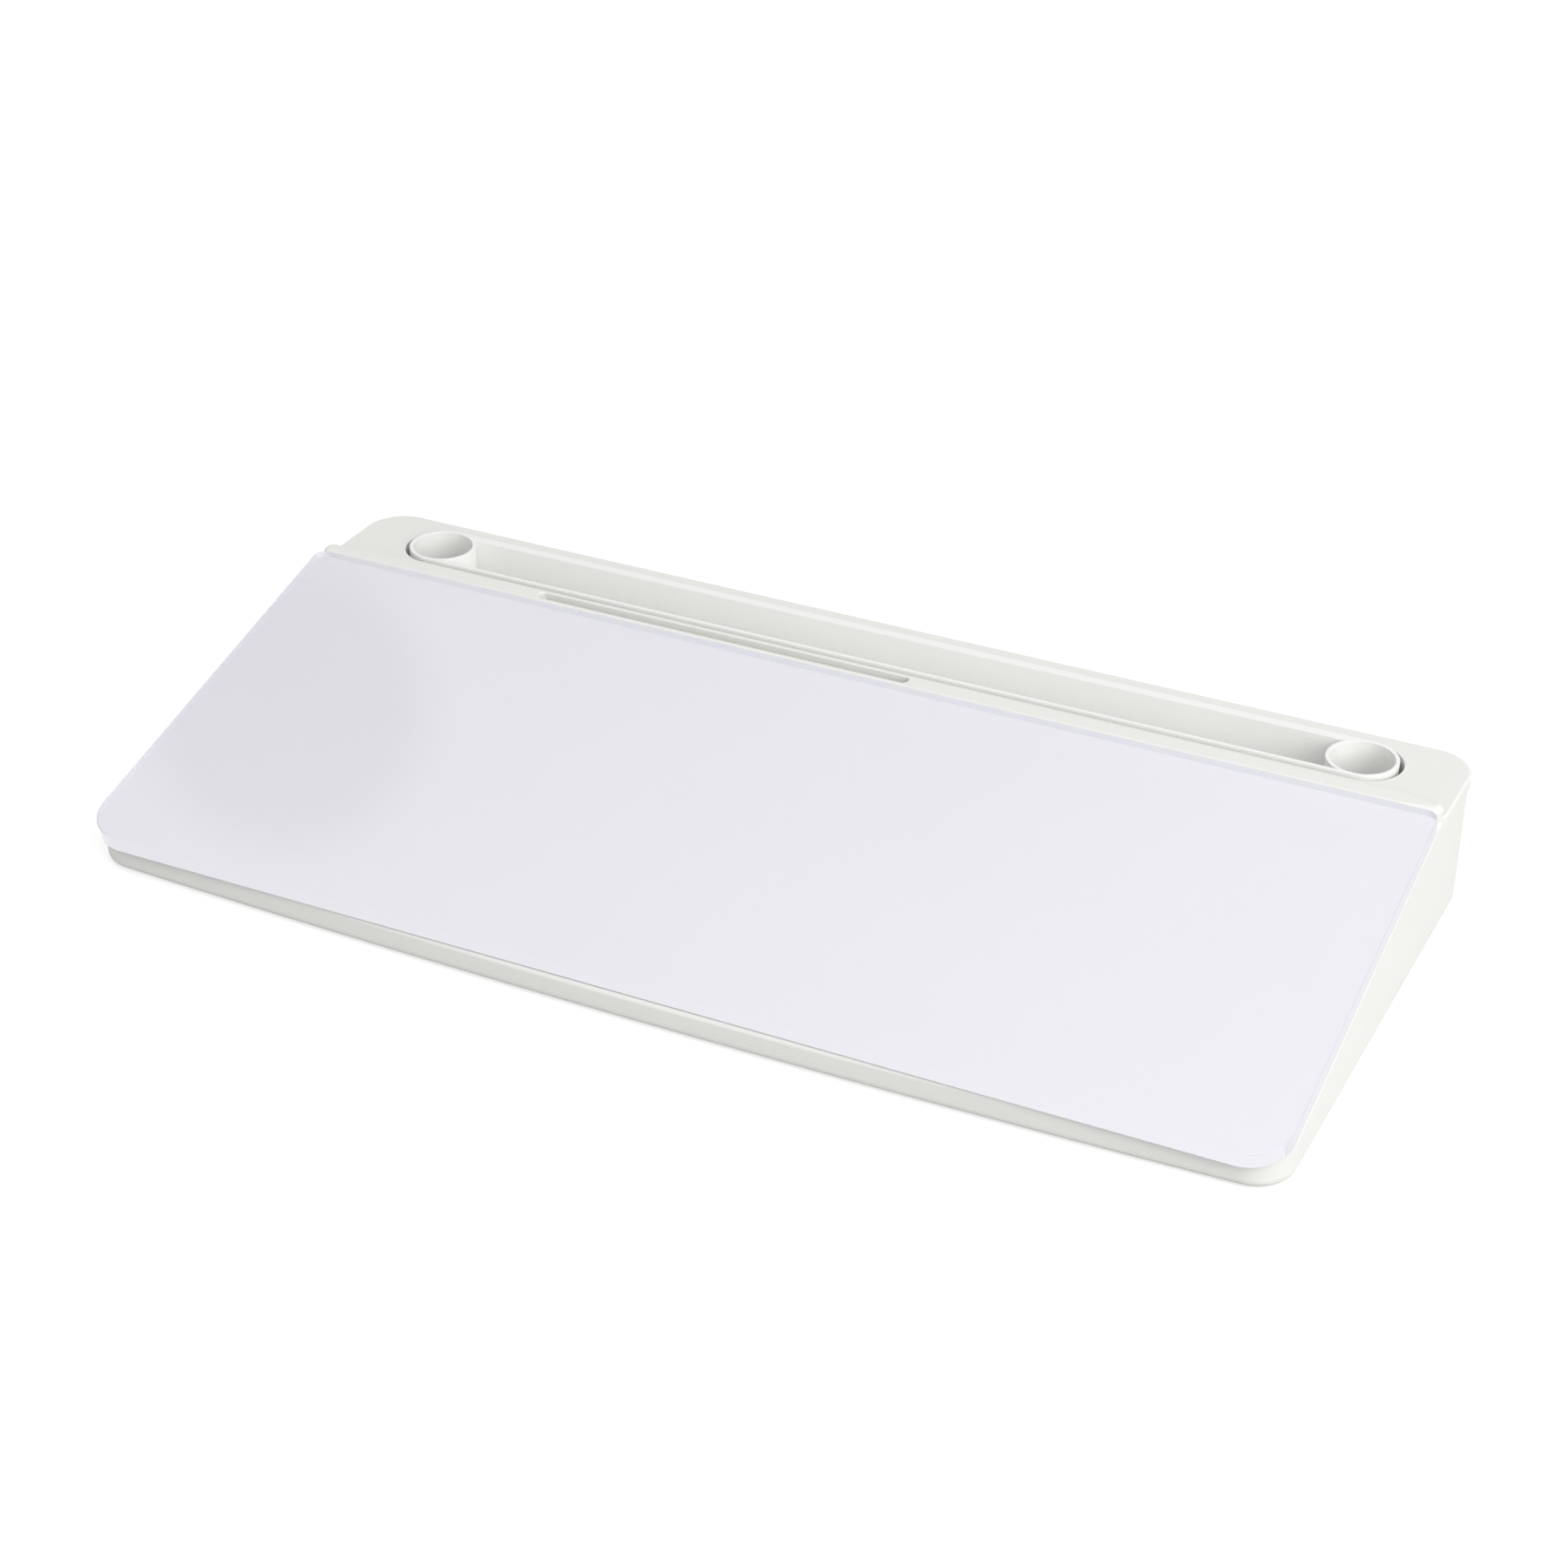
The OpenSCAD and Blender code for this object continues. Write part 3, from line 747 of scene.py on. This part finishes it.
def screw_tree():
    """A pan head with a cross recess in its lower face, and the shank, which starts inside the head."""
    tree, given, wanted = tree_with_inputs("pan_head_screw", {
        "Head Diameter": ("NodeSocketFloat", head_diameter),
        "Head Height": ("NodeSocketFloat", head_height),
        "Head Rim": ("NodeSocketFloat", head_rim),
        "Shank Diameter": ("NodeSocketFloat", shank_diameter),
        "Length": ("NodeSocketFloat", 9 * MM),
        "Cross Width": ("NodeSocketFloat", cross_width),
        "Cross Length": ("NodeSocketFloat", cross_length),
        "Cross Depth": ("NodeSocketFloat", cross_depth),
        "Material": ("NodeSocketMaterial", None)})
    head = turned_disc(tree, given["Head Diameter"], given["Head Height"], given["Head Rim"], sides=32)
    lower_rim = worked(tree, "MULTIPLY", given["Shank Diameter"], 0.1)
    shank = turned_disc(tree, given["Shank Diameter"], given["Length"], lower_rim, sides=16)
    climb = worked(tree, "MULTIPLY", given["Head Height"], shank_start)
    lifted = node(tree, "ShaderNodeCombineXYZ", Z=climb)
    shank = node(tree, "GeometryNodeTransform", Geometry=shank, Translation=lifted.outputs[0]).outputs[0]
    cut = node(tree, "GeometryNodeMeshBoolean", operation="DIFFERENCE", solver="EXACT")
    tree.links.new(head, cut.inputs["Mesh 1"])
    length, width = given["Cross Length"], given["Cross Width"]
    deep = worked(tree, "MULTIPLY", given["Cross Depth"], 2.0)
    for x, y in ((length, width), (width, length)):
        bar_size = node(tree, "ShaderNodeCombineXYZ", X=x, Y=y, Z=deep)
        bar = node(tree, "GeometryNodeMeshCube", Size=bar_size.outputs[0])
        tree.links.new(bar.outputs["Mesh"], cut.inputs["Mesh 2"])
    both = tree.nodes.new("GeometryNodeJoinGeometry")
    tree.links.new(cut.outputs["Mesh"], both.inputs[0])
    tree.links.new(shank, both.inputs[0])
    set_down(tree, given, wanted, both.outputs[0])
    return tree


screw_spacing = (screws_high.x - screws_low.x - head_diameter) / 3
screw_columns = [screws_high.x - head_diameter / 2 - k * screw_spacing for k in range(4)]
screw_rows = (screws_low.y + head_diameter / 2, screws_high.y - head_diameter / 2)
screw_places = [(x, y, screws_low.z) for y in screw_rows for x in screw_columns]
screws = grown("base_screw_set", screw_places, screw_tree(), {
    "Head Diameter": head_diameter,
    "Head Height": head_height,
    "Head Rim": head_rim,
    "Shank Diameter": shank_diameter,
    "Length": screws_high.z - screws_low.z - shank_start * head_height,
    "Cross Width": cross_width,
    "Cross Length": cross_length,
    "Cross Depth": cross_depth,
    "Material": zinc()})
smooth_shading(screws)
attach(screws, "board")
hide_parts("base_screws")


# --- Studio ------------------------------------------------------------------
# A sheet of white paper under the board and an even white surround. A large
# soft lamp stands to the right and a little to the front, and two weaker ones
# fill in from the front, one from above and one low on the left.
floor_half = 6.0
ground = -0.02 * MM
square = ((-1, -1), (1, -1), (1, 1), (-1, 1))

floor_mesh = bpy.data.meshes.new("studio_floor")
floor_mesh.from_pydata([(x * floor_half, y * floor_half, ground) for x, y in square], [], [(0, 1, 2, 3)])
floor = bpy.data.objects.new("studio_floor", floor_mesh)
bpy.context.scene.collection.objects.link(floor)


def looked_at(tree):
    """1 where the surround is seen, straight or in a reflection, and 0 where it lights the object."""
    path = node(tree, "ShaderNodeLightPath")
    seen = None
    for kind in ("Is Camera Ray", "Is Glossy Ray", "Is Transmission Ray"):
        either = node(tree, "ShaderNodeMath", operation="MAXIMUM")
        tree.links.new(path.outputs[kind], either.inputs[0])
        if seen is None:
            either.inputs[1].default_value = 0
        else:
            tree.links.new(seen, either.inputs[1])
        seen = either.outputs[0]
    return seen


def white_sweep():
    """Paper that shows white, also in reflections, and gives back less light than it shows."""
    material, tree = new_material("white_sweep")
    paper = node(tree, "ShaderNodeBsdfDiffuse", Color=(0.40, 0.40, 0.40, 1))
    shaded = node(tree, "ShaderNodeBsdfDiffuse", Color=(0.5, 0.5, 0.5, 1))
    glow = node(tree, "ShaderNodeEmission", Color=(1, 1, 1, 1), Strength=0.62)
    bright = node(tree, "ShaderNodeAddShader")
    tree.links.new(shaded.outputs[0], bright.inputs[0])
    tree.links.new(glow.outputs[0], bright.inputs[1])
    mix = node(tree, "ShaderNodeMixShader", Fac=looked_at(tree))
    tree.links.new(paper.outputs[0], mix.inputs[1])
    tree.links.new(bright.outputs[0], mix.inputs[2])
    node(tree, "ShaderNodeOutputMaterial", Surface=mix.outputs[0])
    return material


floor_mesh.materials.append(white_sweep())


def soft_flag():
    """A card behind the board that shows only as a soft grey reflection in the glass."""
    middle = Vector((-0.690, 0.385, 0.800))
    half = 0.14
    facing = (glass_foot - middle).normalized()
    side = facing.cross(Vector((0, 0, 1))).normalized()
    rise = side.cross(facing)
    card_mesh = bpy.data.meshes.new("soft_flag")
    card_mesh.from_pydata([middle + half * (x * side + y * rise) for x, y in square], [], [(0, 1, 2, 3)])
    card = bpy.data.objects.new("soft_flag", card_mesh)
    bpy.context.scene.collection.objects.link(card)
    material, tree = new_material("flag_black")
    place = node(tree, "ShaderNodeTexCoord").outputs["Object"]
    centred = node(tree, "ShaderNodeMapping", vector_type="TEXTURE", Vector=place, Location=middle,
                   Scale=(0.85 * half, 0.85 * half, 0.85 * half))
    fading = node(tree, "ShaderNodeTexGradient", gradient_type="SPHERICAL", Vector=centred.outputs[0])
    depth = node(tree, "ShaderNodeMapRange", Value=fading.outputs["Fac"], From_Max=0.45, To_Max=0.95)
    depth.interpolation_type = "SMOOTHSTEP"
    path = node(tree, "ShaderNodeLightPath")
    mirrored = node(tree, "ShaderNodeMath", operation="MULTIPLY")
    tree.links.new(path.outputs["Is Glossy Ray"], mirrored.inputs[0])
    tree.links.new(depth.outputs[0], mirrored.inputs[1])
    clear = node(tree, "ShaderNodeBsdfTransparent", Color=(1, 1, 1, 1))
    black = node(tree, "ShaderNodeBsdfDiffuse", Color=(0, 0, 0, 1))
    mix = node(tree, "ShaderNodeMixShader", Fac=mirrored.outputs[0])
    tree.links.new(clear.outputs[0], mix.inputs[1])
    tree.links.new(black.outputs[0], mix.inputs[2])
    node(tree, "ShaderNodeOutputMaterial", Surface=mix.outputs[0])
    card_mesh.materials.append(material)


soft_flag()

world = bpy.data.worlds.new("studio")
bpy.context.scene.world = world
world.use_nodes = True
surround = world.node_tree
surround.nodes.clear()
ambient = node(surround, "ShaderNodeBackground", Color=(1.0, 1.0, 1.0, 1), Strength=0.715)
backdrop = node(surround, "ShaderNodeBackground", Color=(1, 1, 1, 1), Strength=1.0)
shown = node(surround, "ShaderNodeMixShader", Fac=looked_at(surround))
surround.links.new(ambient.outputs[0], shown.inputs[1])
surround.links.new(backdrop.outputs[0], shown.inputs[2])
node(surround, "ShaderNodeOutputWorld", Surface=shown.outputs[0])


def soft_lamp(name, place, aim, size, power, colour=(1, 1, 1)):
    """A square softbox that faces the aim point."""
    lamp = bpy.data.lights.new(name, "AREA")
    lamp.shape = "SQUARE"
    lamp.size = size
    lamp.energy = power
    lamp.color = colour
    holder = bpy.data.objects.new(name, lamp)
    holder.location = place
    holder.rotation_euler = (Vector(aim) - Vector(place)).to_track_quat("-Z", "Y").to_euler()
    holder.visible_camera = False
    bpy.context.scene.collection.objects.link(holder)


soft_lamp("key_lamp", place=(1.6, -0.75, 0.9), aim=(0.05, 0, 0), size=1.2, power=21.2,
          colour=(1.0, 0.995, 0.985))
soft_lamp("fill_lamp", place=(0.8, -1.4, 1.5), aim=(0, 0, 0), size=1.4, power=7.5)
soft_lamp("low_fill_lamp", place=(-0.5, -0.75, 0.12), aim=(-0.15, -0.1, 0), size=0.4, power=0.3)

camera_data = bpy.data.cameras.new("camera")
camera_data.lens = 75.6665
camera_data.sensor_width = 36
camera_data.clip_end = 20
camera = bpy.data.objects.new("camera", camera_data)
camera.location = (0.423835, -0.891157, 0.613054)
yaw, pitch, roll = (math.radians(a) for a in (25.2659, 30.2399, 0.7010))
ahead = Vector((-math.sin(yaw) * math.cos(pitch), math.cos(yaw) * math.cos(pitch), -math.sin(pitch)))
level = Vector((math.cos(yaw), math.sin(yaw), 0))
upright = level.cross(ahead)
right = math.cos(roll) * level + math.sin(roll) * upright
top = -math.sin(roll) * level + math.cos(roll) * upright
camera.rotation_mode = "QUATERNION"
camera.rotation_quaternion = Matrix((right, top, -ahead)).transposed().to_quaternion()
bpy.context.scene.collection.objects.link(camera)
bpy.context.scene.camera = camera
bpy.context.scene.view_settings.view_transform = "Standard"
